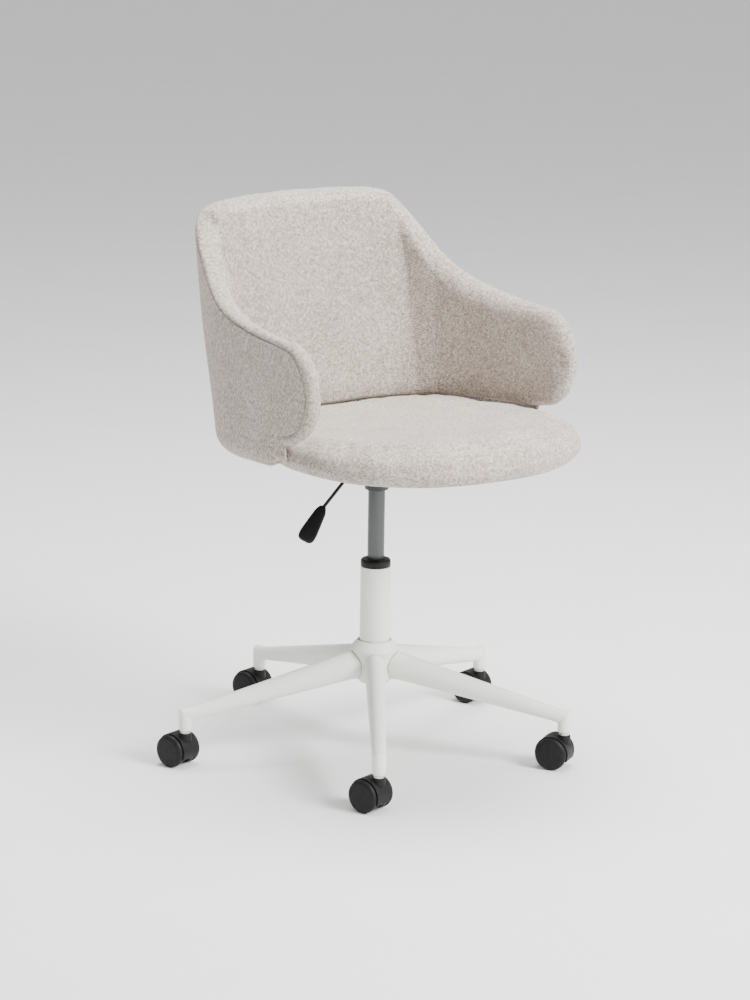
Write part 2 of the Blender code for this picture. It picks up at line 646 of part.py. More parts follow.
def nose_edge(t, tuck):
    """Front edge of the arm as (station, height), t from 0 at the seat joint to 1 on top."""
    straight = 0.22
    base_z = NOSE_Z - NOSE_DOWN + tuck * 0.6
    if t < straight:
        return ARM_STATION, SHELL_BOTTOM_Z + (base_z - SHELL_BOTTOM_Z) * t / straight
    turn = math.pi * ((t - straight) / (1 - straight) - 0.5)
    reach = NOSE_REACH - tuck / 90.0
    tall = NOSE_DOWN - tuck * 0.6 if turn < 0 else NOSE_UP - tuck
    return ARM_STATION + reach * math.cos(turn), NOSE_Z + tall * math.sin(turn)


def panel_grid(first, bottom, front, tuck, columns, levels):
    """Blend four edges into a grid of (station, height); levels run from 0 below to 1 on top."""
    grid = []
    start_low = (first, bottom(first))
    start_high = (first, rim_height(first) - tuck)
    corner_low = front(0.0)
    corner_high = front(1.0)
    for i in range(columns + 1):
        u = i / columns
        low = (first + (corner_low[0] - first) * u, 0.0)
        low = (low[0], bottom(low[0]))
        high_station = first + (corner_high[0] - first) * u
        high = (high_station, rim_height(high_station) - tuck)
        column = []
        for v in levels:
            left = (first, start_low[1] + (start_high[1] - start_low[1]) * v)
            right = front(v)
            point = []
            for n in range(2):
                ruled = low[n] * (1 - v) + high[n] * v + left[n] * (1 - u) + right[n] * u
                corners = ((start_low[n] * (1 - u) + corner_low[n] * u) * (1 - v)
                           + (start_high[n] * (1 - u) + corner_high[n] * u) * v)
                point.append(ruled - corners)
            column.append(point)
        grid.append(column)
    return grid


def add_panel(name, grid, depth, thickness, material, parent, mirrored, side=1):
    """A sheet on the grid, thickened inwards, closed at X = 0 by its mirror half if mirrored."""
    mesh = bpy.data.meshes.new(name)
    bm = bmesh.new()
    columns = []
    for column in grid:
        row = []
        for station, z in column:
            point = shell_point(station, z, depth)
            row.append(bm.verts.new(Vector((side * point.x, point.y, point.z)) * MM))
        columns.append(row)
    for left, right in zip(columns, columns[1:]):
        for j in range(len(left) - 1):
            corners = (left[j], left[j + 1], right[j + 1], right[j])
            bm.faces.new(corners if side > 0 else reversed(corners))
    bm.to_mesh(mesh)
    bm.free()
    obj = add_object(name, mesh, material, parent)
    if mirrored:
        mirror = obj.modifiers.new("mirror", 'MIRROR')
        mirror.merge_threshold = 0.00005
    solid = obj.modifiers.new("thickness", 'SOLIDIFY')
    solid.thickness = thickness * MM
    solid.offset = -1.0
    return obj


def build_shell(parent):
    even_levels = [i / 7 for i in range(8)]
    curled_levels = [0.0, 0.035, 0.08] + [0.22 + 0.78 * i / 6 for i in range(7)]
    outer_grid = panel_grid(0.0, lambda s: SHELL_BOTTOM_Z, lambda t: nose_edge(t, RIM_TUCK), RIM_TUCK, 20,
                            curled_levels)
    add_panel("shell_outer_cover", outer_grid, 0.0, COVER_THICK, FABRIC, parent, True)
    add_panel("shell_core", outer_grid, COVER_THICK + COVER_GAP, CORE_THICK, PLYWOOD, parent, True)
    pad_depth = COVER_THICK + CORE_THICK + PAD_CLEARANCE

    def pad_bottom(station):
        inner = inward(station, CURL_TOP_Z, pad_depth + PAD_THICK)
        return seat_top(inner.y) + PAD_LIFT

    def crease_edge(t):
        low = pad_bottom(CREASE_STATION)
        station = CREASE_STATION - CREASE_GAP
        return station, low + (rim_height(station) - low) * t

    def arm_edge(t):
        station, z = nose_edge(0.22 + 0.78 * t, 0.0)
        return station, z

    back_grid = panel_grid(0.0, pad_bottom, crease_edge, 0.0, 12, even_levels)
    add_panel("back_pad", back_grid, pad_depth, PAD_THICK, FABRIC, parent, True)
    arm_grid = panel_grid(CREASE_STATION + CREASE_GAP, pad_bottom, arm_edge, 0.0, 10, even_levels)
    for name, side in (("arm_pad_left", 1), ("arm_pad_right", -1)):
        add_panel(name, arm_grid, pad_depth, PAD_THICK, FABRIC, parent, False, side)


# ----------------------------------------------------------------------------------------- build

clear_scene()
PARTS = new_collection("swivel_desk_chair")
CUTTERS = new_collection("cutters")
POWDER_COAT = make_material("white_powder_coat", (0.80, 0.81, 0.77), 0.45)
SATIN_METAL = make_material("satin_metal", (0.33, 0.34, 0.35), 0.3, 1.0)
STEEL = make_material("steel", (0.45, 0.45, 0.46), 0.35, 1.0)
BLACK_METAL = make_material("black_metal", (0.03, 0.03, 0.03), 0.5)
BLACK_PLASTIC = make_material("black_plastic", (0.026, 0.026, 0.028), 0.45)
PLYWOOD = make_material("plywood", (0.50, 0.36, 0.22), 0.6)
FABRIC = make_material("beige_fabric", (0.60, 0.56, 0.52), 0.9)

ROOT = add_empty("chair_axis", (AXIS_X, AXIS_Y, 0))
build_base(ROOT)
BEARING_TOP = build_column(ROOT)
build_spindle(ROOT, BEARING_TOP)
build_cylinder(ROOT)
build_mechanism(ROOT)
LEVER = add_empty("lever_pivot", (0, 0, 0), ROOT)
build_lever(LEVER)
build_seat(ROOT)
build_shell(ROOT)
for part in PARTS.objects:
    shade_round(part)
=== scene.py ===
import math

import bmesh
import bpy
import numpy as np
from mathutils import Matrix, Vector, kdtree
from mathutils import noise as random_noise

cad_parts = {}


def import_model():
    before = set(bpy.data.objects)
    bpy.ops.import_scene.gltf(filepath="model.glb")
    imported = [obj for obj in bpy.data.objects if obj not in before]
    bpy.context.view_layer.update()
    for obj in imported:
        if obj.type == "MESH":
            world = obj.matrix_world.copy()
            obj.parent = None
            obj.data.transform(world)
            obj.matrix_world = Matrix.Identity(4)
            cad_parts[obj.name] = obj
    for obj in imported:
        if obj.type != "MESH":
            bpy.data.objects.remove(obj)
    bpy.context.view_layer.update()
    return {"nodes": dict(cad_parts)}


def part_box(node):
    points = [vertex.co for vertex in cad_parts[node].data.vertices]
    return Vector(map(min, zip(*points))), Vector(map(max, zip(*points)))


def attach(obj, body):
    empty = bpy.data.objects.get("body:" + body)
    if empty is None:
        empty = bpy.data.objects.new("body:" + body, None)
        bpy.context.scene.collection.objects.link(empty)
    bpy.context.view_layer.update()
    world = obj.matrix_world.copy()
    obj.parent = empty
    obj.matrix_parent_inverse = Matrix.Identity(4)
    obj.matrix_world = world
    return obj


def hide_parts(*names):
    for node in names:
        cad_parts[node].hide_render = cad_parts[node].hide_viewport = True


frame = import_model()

# The chair's looks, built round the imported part. Numbers are millimetres in the chair's own frame:
# the column's axis is x = y = 0, the chair faces -Y and the floor is z = 0.
MM = 0.001
TAU = 2 * math.pi
TUBE_LOW, TUBE_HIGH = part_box("column_tube")
AXIS = Vector(((TUBE_LOW.x + TUBE_HIGH.x) / 2, (TUBE_LOW.y + TUBE_HIGH.y) / 2, 0))
SCENE = bpy.context.scene


def world(p):
    return Vector((p[0] * MM, p[1] * MM, p[2] * MM)) + AXIS


def smoothstep(x):
    x = min(max(x, 0.0), 1.0)
    return x * x * (3 - 2 * x)


# ------------------------------------------------------------------------------- camera and stage

CAMERA_TURN = math.radians(-37.73)
CAMERA_RISE = math.radians(13.94)
CAMERA_ROLL = math.radians(0.817)
CAMERA_DISTANCE = 5.44
CAMERA_AIM = Vector((0.003, -0.010, 0.40))


def add_camera():
    data = bpy.data.cameras.new("camera")
    data.lens = 118.8
    data.sensor_width = 36.0
    data.shift_x = -0.00135
    data.shift_y = 0.0164
    camera = bpy.data.objects.new("camera", data)
    SCENE.collection.objects.link(camera)
    back = Vector((math.sin(CAMERA_TURN) * math.cos(CAMERA_RISE),
                   -math.cos(CAMERA_TURN) * math.cos(CAMERA_RISE), math.sin(CAMERA_RISE)))
    right = Vector((math.cos(CAMERA_TURN), math.sin(CAMERA_TURN), 0))
    up = back.cross(right)
    turn = Matrix((right, up, back)).transposed() @ Matrix.Rotation(CAMERA_ROLL, 3, 'Z')
    camera.matrix_world = Matrix.Translation(CAMERA_AIM + back * CAMERA_DISTANCE) @ turn.to_4x4()
    SCENE.camera = camera


def add_area_light(name, location, aim, size, power, colour=(1, 1, 1)):
    data = bpy.data.lights.new(name, 'AREA')
    data.shape = 'DISK'
    data.size = size
    data.energy = power
    data.color = colour
    light = bpy.data.objects.new(name, data)
    SCENE.collection.objects.link(light)
    light.location = location
    light.rotation_euler = (Vector(aim) - Vector(location)).to_track_quat('-Z', 'Y').to_euler()


def add_stage():
    world_data = bpy.data.worlds.new("studio")
    SCENE.world = world_data
    world_data.use_nodes = True
    background = world_data.node_tree.nodes["Background"]
    background.inputs["Color"].default_value = (1.0, 1.0, 1.0, 1)
    background.inputs["Strength"].default_value = 0.80
    add_area_light("key", (1.3, -3.6, 3.0), (0, 0, 0.5), 1.9, 430)
    add_area_light("fill", (-3.4, -1.6, 1.3), (0, 0, 0.5), 2.4, 6)
    add_area_light("top", (0.3, 0.3, 3.6), (0, 0, 0.5), 2.4, 210)
    bpy.ops.mesh.primitive_plane_add(size=30, location=(0, 0, 0))
    floor = bpy.context.object
    floor.name = "floor"
    material, shader, tree = new_material("pale_floor", (0.86, 0.86, 0.86), 0.7)
    vector = coords(tree)
    grain = noise(tree, vector, 6.0, 2.0)
    colour_from(tree, shader, grain, [(0.3, (0.85, 0.85, 0.85)), (0.7, (0.87, 0.87, 0.87))])
    floor.data.materials.append(material)


# -------------------------------------------------------------------------------------- materials

def new_material(name, colour, roughness, metallic=0.0):
    material = bpy.data.materials.new(name)
    material.use_nodes = True
    tree = material.node_tree
    shader = tree.nodes["Principled BSDF"]
    shader.inputs["Base Color"].default_value = (*colour, 1)
    shader.inputs["Roughness"].default_value = roughness
    shader.inputs["Metallic"].default_value = metallic
    return material, shader, tree


def coords(tree, scale=(1, 1, 1)):
    place = tree.nodes.new("ShaderNodeTexCoord")
    mapping = tree.nodes.new("ShaderNodeMapping")
    mapping.inputs["Scale"].default_value = scale
    tree.links.new(place.outputs["Object"], mapping.inputs["Vector"])
    return mapping.outputs["Vector"]


def noise(tree, vector, scale, detail=3.0, roughness=0.5):
    node = tree.nodes.new("ShaderNodeTexNoise")
    node.inputs["Scale"].default_value = scale
    node.inputs["Detail"].default_value = detail
    node.inputs["Roughness"].default_value = roughness
    tree.links.new(vector, node.inputs["Vector"])
    return node.outputs["Fac"]


def bands(tree, vector, scale, distortion):
    node = tree.nodes.new("ShaderNodeTexWave")
    node.wave_type = 'BANDS'
    node.bands_direction = 'DIAGONAL'
    node.inputs["Scale"].default_value = scale
    node.inputs["Distortion"].default_value = distortion
    node.inputs["Detail"].default_value = 2.0
    node.inputs["Detail Scale"].default_value = 1.5
    tree.links.new(vector, node.inputs["Vector"])
    return node.outputs["Fac"]


def math_node(tree, operation, first, second):
    node = tree.nodes.new("ShaderNodeMath")
    node.operation = operation
    for socket, value in zip(node.inputs, (first, second)):
        if isinstance(value, (int, float)):
            socket.default_value = value
        else:
            tree.links.new(value, socket)
    return node.outputs["Value"]


def ramp(tree, factor, stops):
    node = tree.nodes.new("ShaderNodeValToRGB")
    elements = node.color_ramp.elements
    while len(elements) < len(stops):
        elements.new(0.5)
    for element, (position, colour) in zip(elements, stops):
        element.position = position
        element.color = (*colour, 1)
    tree.links.new(factor, node.inputs["Fac"])
    return node.outputs["Color"]


def colour_from(tree, shader, factor, stops):
    tree.links.new(ramp(tree, factor, stops), shader.inputs["Base Color"])


def roughness_from(tree, shader, factor, low, high):
    grey = ramp(tree, factor, [(0.3, (low,) * 3), (0.7, (high,) * 3)])
    tree.links.new(grey, shader.inputs["Roughness"])


def bump_from(tree, shader, height, strength, distance):
    node = tree.nodes.new("ShaderNodeBump")
    node.inputs["Strength"].default_value = strength
    node.inputs["Distance"].default_value = distance
    tree.links.new(height, node.inputs["Height"])
    tree.links.new(node.outputs["Normal"], shader.inputs["Normal"])


def fabric(name, light, dark, speck):
    """Heathered twill: mixed light and dark yarns on slanting ribs."""
    material, shader, tree = new_material(name, light, 0.92)
    plain = coords(tree)
    rib = bands(tree, plain, 118.0, 1.4)
    yarn = bands(tree, coords(tree, (1.6, -2.0, -0.6)), 140.0, 1.8)
    heather = noise(tree, plain, 210.0, 3.0, 0.8)
    fibre = noise(tree, coords(tree, (1.0, 1.0, 0.5)), 620.0, 3.0, 0.75)
    cloud = noise(tree, plain, 16.0, 2.0, 0.5)
    weave = math_node(tree, 'ADD', math_node(tree, 'MULTIPLY', rib, 0.62),
                      math_node(tree, 'MULTIPLY', yarn, 0.38))
    mixed = math_node(tree, 'ADD', math_node(tree, 'MULTIPLY', heather, 0.46),
                      math_node(tree, 'MULTIPLY', fibre, 0.42))
    mixed = math_node(tree, 'ADD', mixed, math_node(tree, 'MULTIPLY', weave, 0.06))
    mixed = math_node(tree, 'ADD', mixed, math_node(tree, 'MULTIPLY', cloud, 0.06))
    colour_from(tree, shader, mixed, [(0.38, dark), (0.50, light), (0.62, speck)])
    height = math_node(tree, 'ADD', math_node(tree, 'MULTIPLY', weave, 0.25),
                       math_node(tree, 'MULTIPLY', fibre, 0.8))
    bump_from(tree, shader, height, 0.5, 0.0012)
    shader.inputs["Sheen Weight"].default_value = 0.18
    shader.inputs["Sheen Roughness"].default_value = 0.5
    shader.inputs["Specular IOR Level"].default_value = 0.25
    return material


def powder_coat():
    material, shader, tree = new_material("white_powder_coat", (0.80, 0.81, 0.78), 0.42)
    plain = coords(tree)
    tint = noise(tree, plain, 35.0)
    colour_from(tree, shader, tint, [(0.3, (0.765, 0.775, 0.715)), (0.7, (0.785, 0.795, 0.735))])
    peel = noise(tree, plain, 900.0, 2.0)
    roughness_from(tree, shader, noise(tree, plain, 60.0), 0.36, 0.48)
    bump_from(tree, shader, peel, 0.12, 0.0003)
    return material


def black_plastic(name, colour, roughness):
    material, shader, tree = new_material(name, colour, roughness)
    plain = coords(tree)
    lighter = tuple(c * 1.35 for c in colour)
    colour_from(tree, shader, noise(tree, plain, 45.0), [(0.3, colour), (0.75, lighter)])
    roughness_from(tree, shader, noise(tree, plain, 120.0), roughness - 0.06, roughness + 0.08)
    bump_from(tree, shader, noise(tree, plain, 1600.0, 3.0), 0.18, 0.0002)
    shader.inputs["Specular IOR Level"].default_value = 0.22
    return material


def metal(name, colour, roughness, metallic, streaks):
    material, shader, tree = new_material(name, colour, roughness, metallic)
    drawn = noise(tree, coords(tree, streaks), 260.0, 3.0)
    colour_from(tree, shader, drawn, [(0.3, tuple(c * 0.9 for c in colour)), (0.7, colour)])
    roughness_from(tree, shader, drawn, roughness - 0.06, roughness + 0.08)
    bump_from(tree, shader, drawn, 0.06, 0.0001)
    return material


def plywood():
    material, shader, tree = new_material("plywood", (0.52, 0.38, 0.24), 0.65)
    grain = noise(tree, coords(tree, (3.0, 0.3, 3.0)), 60.0, 4.0)
    colour_from(tree, shader, grain, [(0.3, (0.44, 0.31, 0.19)), (0.7, (0.56, 0.42, 0.27))])
    bump_from(tree, shader, grain, 0.2, 0.0003)
    return material


FABRIC = fabric("heathered_fabric", (0.370, 0.318, 0.278), (0.150, 0.120, 0.096), (0.63, 0.570, 0.505))
DUST_COVER = fabric("dust_cover_fabric", (0.22, 0.20, 0.185), (0.16, 0.145, 0.13), (0.28, 0.26, 0.24))
POWDER = powder_coat()
PLASTIC = black_plastic("black_satin_plastic", (0.0050, 0.0050, 0.0056), 0.48)
WHEEL = black_plastic("black_wheel_plastic", (0.0042, 0.0042, 0.0047), 0.52)
PAINTED = metal("black_painted_steel", (0.010, 0.010, 0.011), 0.45, 0.0, (1, 1, 1))
SATIN = metal("satin_gas_cylinder", (0.085, 0.088, 0.088), 0.38, 0.70, (1.0, 1.0, 0.04))
STEEL = metal("bright_steel", (0.55, 0.55, 0.56), 0.30, 1.0, (1.0, 1.0, 0.1))
PLY = plywood()


# ------------------------------------------------------------------------------------ mesh helpers

def link(name, mesh, material):
    obj = bpy.data.objects.new(name, mesh)
    SCENE.collection.objects.link(obj)
    mesh.materials.clear()
    mesh.materials.append(material)
    return obj


def finish_piece(obj, body, nodes=()):
    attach(obj, body)
    if nodes:
        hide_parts(*nodes)
    return obj


def shade(obj, angle=38.0):
    obj.data.shade_smooth()
    obj.data.set_sharp_from_angle(angle=math.radians(angle))


def mesh_from(name, points, faces, material):
    mesh = bpy.data.meshes.new(name)
    mesh.from_pydata([world(p) for p in points], [], faces)
    mesh.validate()
    return link(name, mesh, material)


def lathe(name, profile, material, centre=(0, 0), ring=False, steps=72, rounding=0.0):
    """Turned piece about the vertical line through centre. The profile is (radius, z)."""
    points = []
    faces = []
    rows = len(profile)
    for i in range(steps):
        turn = TAU * i / steps
        for radius, z in profile:
            points.append((centre[0] + radius * math.cos(turn), centre[1] + radius * math.sin(turn), z))
    last = rows if ring else rows - 1
    for i in range(steps):
        j = (i + 1) % steps
        for k in range(last):
            m = (k + 1) % rows
            faces.append((i * rows + k, i * rows + m, j * rows + m, j * rows + k))
    obj = mesh_from(name, points, faces, material)
    weld(obj.data)
    if rounding:
        add_bevel(obj, rounding)
    shade(obj)
    return obj


def weld(mesh, distance=0.00002):
    bm = bmesh.new()
    bm.from_mesh(mesh)
    bmesh.ops.remove_doubles(bm, verts=bm.verts, dist=distance)
    bmesh.ops.dissolve_degenerate(bm, dist=0.000005, edges=bm.edges)
    bmesh.ops.recalc_face_normals(bm, faces=bm.faces)
    bm.to_mesh(mesh)
    bm.free()


def add_bevel(obj, width, segments=3, angle=35.0):
    bevel = obj.modifiers.new("edges", 'BEVEL')
    bevel.width = width * MM
    bevel.segments = segments
    bevel.limit_method = 'ANGLE'
    bevel.angle_limit = math.radians(angle)
    bevel.harden_normals = False


def loft(name, rings, material, closed=True):
    points = [p for ring in rings for p in ring]
    count = len(rings[0])
    faces = []
    for r in range(len(rings) - 1):
        for i in range(count):
            j = (i + 1) % count
            faces.append((r * count + i, r * count + j, (r + 1) * count + j, (r + 1) * count + i))
    if closed:
        faces.append(tuple(reversed(range(count))))
        faces.append(tuple((len(rings) - 1) * count + i for i in range(count)))
    obj = mesh_from(name, points, faces, material)
    weld(obj.data)
    shade(obj)
    return obj


def tube(name, route, radius, material, resolution=6):
    """A round rod or thread along points in the chair frame."""
    curve = bpy.data.curves.new(name, 'CURVE')
    curve.dimensions = '3D'
    curve.bevel_depth = radius * MM
    curve.bevel_resolution = resolution
    curve.use_fill_caps = True
    line = curve.splines.new('POLY')
    line.points.add(len(route) - 1)
    for point, place in zip(line.points, route):
        point.co = (*world(place), 1.0)
    guide = bpy.data.objects.new(name + "_guide", curve)
    SCENE.collection.objects.link(guide)
    mesh = bpy.data.meshes.new_from_object(guide.evaluated_get(bpy.context.evaluated_depsgraph_get()))
    bpy.data.objects.remove(guide, do_unlink=True)
    weld(mesh)
    obj = link(name, mesh, material)
    shade(obj)
    return obj


def bake(obj):
    """Applies the modifiers."""
    evaluated = obj.evaluated_get(bpy.context.evaluated_depsgraph_get())
    mesh = bpy.data.meshes.new_from_object(evaluated)
    obj.modifiers.clear()
    obj.data = mesh


# ------------------------------------------------------------------------------------ shell surface

LOW_Z, MID_Z, HIGH_Z = 544.0, 704.0, 894.0
LOW_PLAN = [(0, 188), (85, 186), (155, 174), (210, 148), (246, 108), (264, 60), (272, -15), (274, -111),
            (272, -200)]
MID_PLAN = [(0, 216), (88, 216), (165, 210), (218, 184), (246, 128), (262, 70), (272, -10), (276, -111),
            (275, -200)]
HIGH_PLAN = [(0, 254), (88, 251), (150, 243), (205, 230), (236, 165), (262, 90), (272, 0), (275, -105),
             (275, -200)]
RIM = [(0.0, 915), (1.1, 913), (2.1, 909), (2.75, 899), (3.0, 892), (3.25, 878), (3.65, 841),
       (4.05, 806), (4.55, 782), (5.2, 764), (5.95, 751), (6.6, 744), (7.0, 741)]
ARM_STATION = 7.0
NOSE_REACH = 0.84
NOSE_Z = 659.0
NOSE_UP = 82.0
NOSE_DOWN = 84.0
CREASE_STATION = 3.8     # at its foot; it leans forward as it climbs
CREASE_FOOT_Z = 560.0
CREASE_HEIGHT = 226.0
CREASE_POINTS = 160
CURL_TOP_Z = 555.0
CURL_R = 33.0
SHELL_BOTTOM_Z = 525.0
OUTER_ROLL = 11.0        # the padded edge rounds tightly outside and softly inside
INNER_ROLL_LENGTH = 22.0
EDGE_THICKNESS = 37.0
SEAM_STEP = 12.0         # the lining's outer face drops that far in behind the seam
SEAM_T = 11.5            # the outer seam's distance below the rim
SEAT_TOP_AT_ARMS = 575.0
SEAT_SLOPE = 0.057
JOIN_Y = -111.0


def along_plan(points, station):
    row = [(-points[1][0], points[1][1]), *points,
           (2 * points[-1][0] - points[-2][0], 2 * points[-1][1] - points[-2][1])]
    station = min(max(station, 0.0), len(points) - 1.0001)
    i = int(station)
    t = station - i
    a, b, c, d = [Vector(p) for p in row[i:i + 4]]
    return 0.5 * (2 * b + (c - a) * t + (2 * a - 5 * b + 4 * c - d) * t * t
                  + (3 * b - a - 3 * c + d) * t ** 3)


def plan_point(station, z):
    low = (z - MID_Z) * (z - HIGH_Z) / ((LOW_Z - MID_Z) * (LOW_Z - HIGH_Z))
    mid = (z - LOW_Z) * (z - HIGH_Z) / ((MID_Z - LOW_Z) * (MID_Z - HIGH_Z))
    high = (z - LOW_Z) * (z - MID_Z) / ((HIGH_Z - LOW_Z) * (HIGH_Z - MID_Z))
    return (along_plan(LOW_PLAN, station) * low + along_plan(MID_PLAN, station) * mid
            + along_plan(HIGH_PLAN, station) * high)


def outward_at(station, z):
    if station < 0.02:
        return Vector((0.0, 1.0))
    along = plan_point(station + 0.02, z) - plan_point(station - 0.02, z)
    along.normalize()
    return Vector((-along.y, along.x))


def shell_point(station, z, depth):
    """Point inside the outer face by depth; a negative station is on the -X side."""
    side = -1 if station < 0 else 1
    s = abs(station)
    turn = math.asin(min(1.0, max(0.0, CURL_TOP_Z - z) / CURL_R))
    level = CURL_R - (CURL_R - depth) * math.cos(turn)
    flat = plan_point(s, z) - outward_at(s, z) * level
    return side * flat.x, flat.y, z + depth * math.sin(turn)


def make_lengths():
    stations = np.arange(0, 8.001, 0.02)
    places = np.array([plan_point(float(s), MID_Z) for s in stations])
    steps = np.linalg.norm(np.diff(places, axis=0), axis=1)
    return stations, np.concatenate([[0], np.cumsum(steps)])


STATIONS, LENGTHS = make_lengths()


def length_at(station):
    return float(np.interp(station, STATIONS, LENGTHS))


def station_at(length):
    return float(np.interp(length, LENGTHS, STATIONS))


def make_rim_table():
    fine = np.arange(-1.0, 7.5001, 0.02)
    z = np.interp(np.abs(fine), *zip(*RIM))
    kernel = np.hanning(27)
    kernel /= kernel.sum()
    return fine, np.convolve(np.pad(z, 13, mode='edge'), kernel, mode='valid')


RIM_S, RIM_H = make_rim_table()


def rim_height(station):
    return float(np.interp(abs(station), RIM_S, RIM_H))


def nose_half(station, tall):
    share = min(1.0, max(0.0, (station - ARM_STATION) / NOSE_REACH))
    return tall * math.sqrt(max(0.0, 1 - share * share))


def rim_polyline():
    """The padded edge as (length, z): along the top, round the arm end, back to the seat."""
    points = [(length_at(s), rim_height(s)) for s in np.arange(0.0, 7.0, 0.04)]
    for degrees in np.arange(90.0, -90.1, -2.5):
        turn = math.radians(degrees)
        tall = NOSE_UP if degrees > 0 else NOSE_DOWN
        station = ARM_STATION + NOSE_REACH * math.cos(turn)
        points.append((length_at(station), NOSE_Z + tall * math.sin(turn)))
    first = points[1:12]
    return np.array([(-a, b) for a, b in reversed(first)] + points)


RIM_LINE = rim_polyline()


def distance_to(line, length, z):
    """Distance from a point to a polyline in the unrolled shell."""
    p = np.array((length, z))
    a = line[:-1]
    d = line[1:] - a
    t = np.clip(((p - a) * d).sum(1) / np.maximum((d * d).sum(1), 1e-9), 0, 1)
    gap = a + d * t[:, None] - p
    return float(np.sqrt((gap * gap).sum(1).min()))


def rim_distance(station, z):
    return distance_to(RIM_LINE, length_at(abs(station)), z)


def roll(t, depth, reach):
    """How far a rounded edge falls back at t from the rim: an ellipse that deep and that long."""
    if t >= reach:
        return 0.0
    return depth * (1 - math.sqrt(max(0.0, 1 - ((reach - t) / reach) ** 2)))


def rim_thickness(station):
    """The padded edge is thinner round the arm ends."""
    return EDGE_THICKNESS - 7.0 * smoothstep((abs(station) - 5.6) / 2.0)


def seam_distance(station, z):
    """The seam lies further back from the edge round the arm ends."""
    return SEAM_T + 5.0 * smoothstep((abs(station) - 6.3) / 1.2) * smoothstep((735 - z) / 50)


def seat_top(y):
    return SEAT_TOP_AT_ARMS - SEAT_SLOPE * (y - JOIN_Y)


# ------------------------------------------------------------------------------------- soft pieces

LINING_VOXEL = 4.0
SEAT_VOXEL = 5.0
PUFF_PRESSURE = 4.0
LAST_CLOTH_FRAME = 20


def remesh(obj, voxel):
    modifier = obj.modifiers.new("remesh", 'REMESH')
    modifier.mode = 'VOXEL'
    modifier.voxel_size = voxel * MM
    bake(obj)


def smooth(obj, factor, repeats):
    modifier = obj.modifiers.new("smooth", 'SMOOTH')
    modifier.factor = factor
    modifier.iterations = repeats
    bake(obj)


def subdivide(obj):
    modifier = obj.modifiers.new("subdivide", 'SUBSURF')
    modifier.levels = 1
    modifier.render_levels = 1
    bake(obj)


def puff(obj, held, pressure, cap, stiffness=12.0):
    """Cloth simulation: the skin swells under pressure where it isn't held, by up to cap."""
    mesh = obj.data
    group = obj.vertex_groups.new(name="held")
    for vertex, weight in zip(mesh.vertices, held):
        if weight > 0:
            group.add([vertex.index], weight, 'REPLACE')
    rest = np.array([v.co for v in mesh.vertices])
    cloth = obj.modifiers.new("cloth", 'CLOTH')
    settings = cloth.settings
    settings.quality = 5
    settings.mass = 0.3
    settings.tension_stiffness = stiffness
    settings.compression_stiffness = stiffness
    settings.shear_stiffness = 5.0
    settings.bending_stiffness = 0.5
    settings.use_pressure = True
    settings.uniform_pressure_force = pressure
    settings.vertex_group_mass = "held"
    settings.effector_weights.gravity = 0.0
    cloth.collision_settings.use_collision = False
    cloth.collision_settings.use_self_collision = False
    cloth.point_cache.frame_start = 1
    cloth.point_cache.frame_end = LAST_CLOTH_FRAME
    for frame_number in range(1, LAST_CLOTH_FRAME + 1):
        SCENE.frame_set(frame_number)
    evaluated = obj.evaluated_get(bpy.context.evaluated_depsgraph_get())
    swollen = evaluated.to_mesh()
    moved = np.array([v.co for v in swollen.vertices]) - rest
    evaluated.to_mesh_clear()
    size = np.linalg.norm(moved, axis=1)
    limit = cap * MM
    scale = limit * np.tanh(size / limit) / np.maximum(size, 1e-9)
    obj.modifiers.clear()
    place = rest + moved * scale[:, None]
    mesh.vertices.foreach_set("co", place.ravel())
    mesh.update()
    obj.vertex_groups.clear()
    SCENE.frame_set(1)


def tree_of(points):
    tree = kdtree.KDTree(len(points))
    for i, p in enumerate(points):
        tree.insert(p, i)
    tree.balance()
    return tree


def press_seam(obj, line, depth, width):
    """Presses a groove along a line of world points."""
    mesh = obj.data
    tree = tree_of(line)
    reach = width * 3 * MM
    normals = [v.normal.copy() for v in mesh.vertices]
    for vertex, normal in zip(mesh.vertices, normals):
        distance = tree.find(vertex.co)[2]
        if distance < reach:
            share = math.exp(-(distance / (width * MM)) ** 2)
            vertex.co -= normal * (depth * MM * share)
    mesh.update()


def ripple(obj, height, scale, seed):
    """Slow unevenness of a hand-stretched cover."""
    shift = Vector((seed, seed * 0.7, -seed))
    mesh = obj.data
    normals = [v.normal.copy() for v in mesh.vertices]
    for vertex, normal in zip(mesh.vertices, normals):
        vertex.co += normal * (height * MM * random_noise.noise(vertex.co * scale + shift))
    mesh.update()


def pad_thickness(station, z):
    """Outer face to inner face: thickest low down in the corner between back and arm."""
    low = smoothstep((784 - z) / 220)
    corner = math.exp(-((abs(station) - CREASE_STATION) / 1.5) ** 2)
    return rim_thickness(station) + 9.0 * low * corner + 2.0 * low


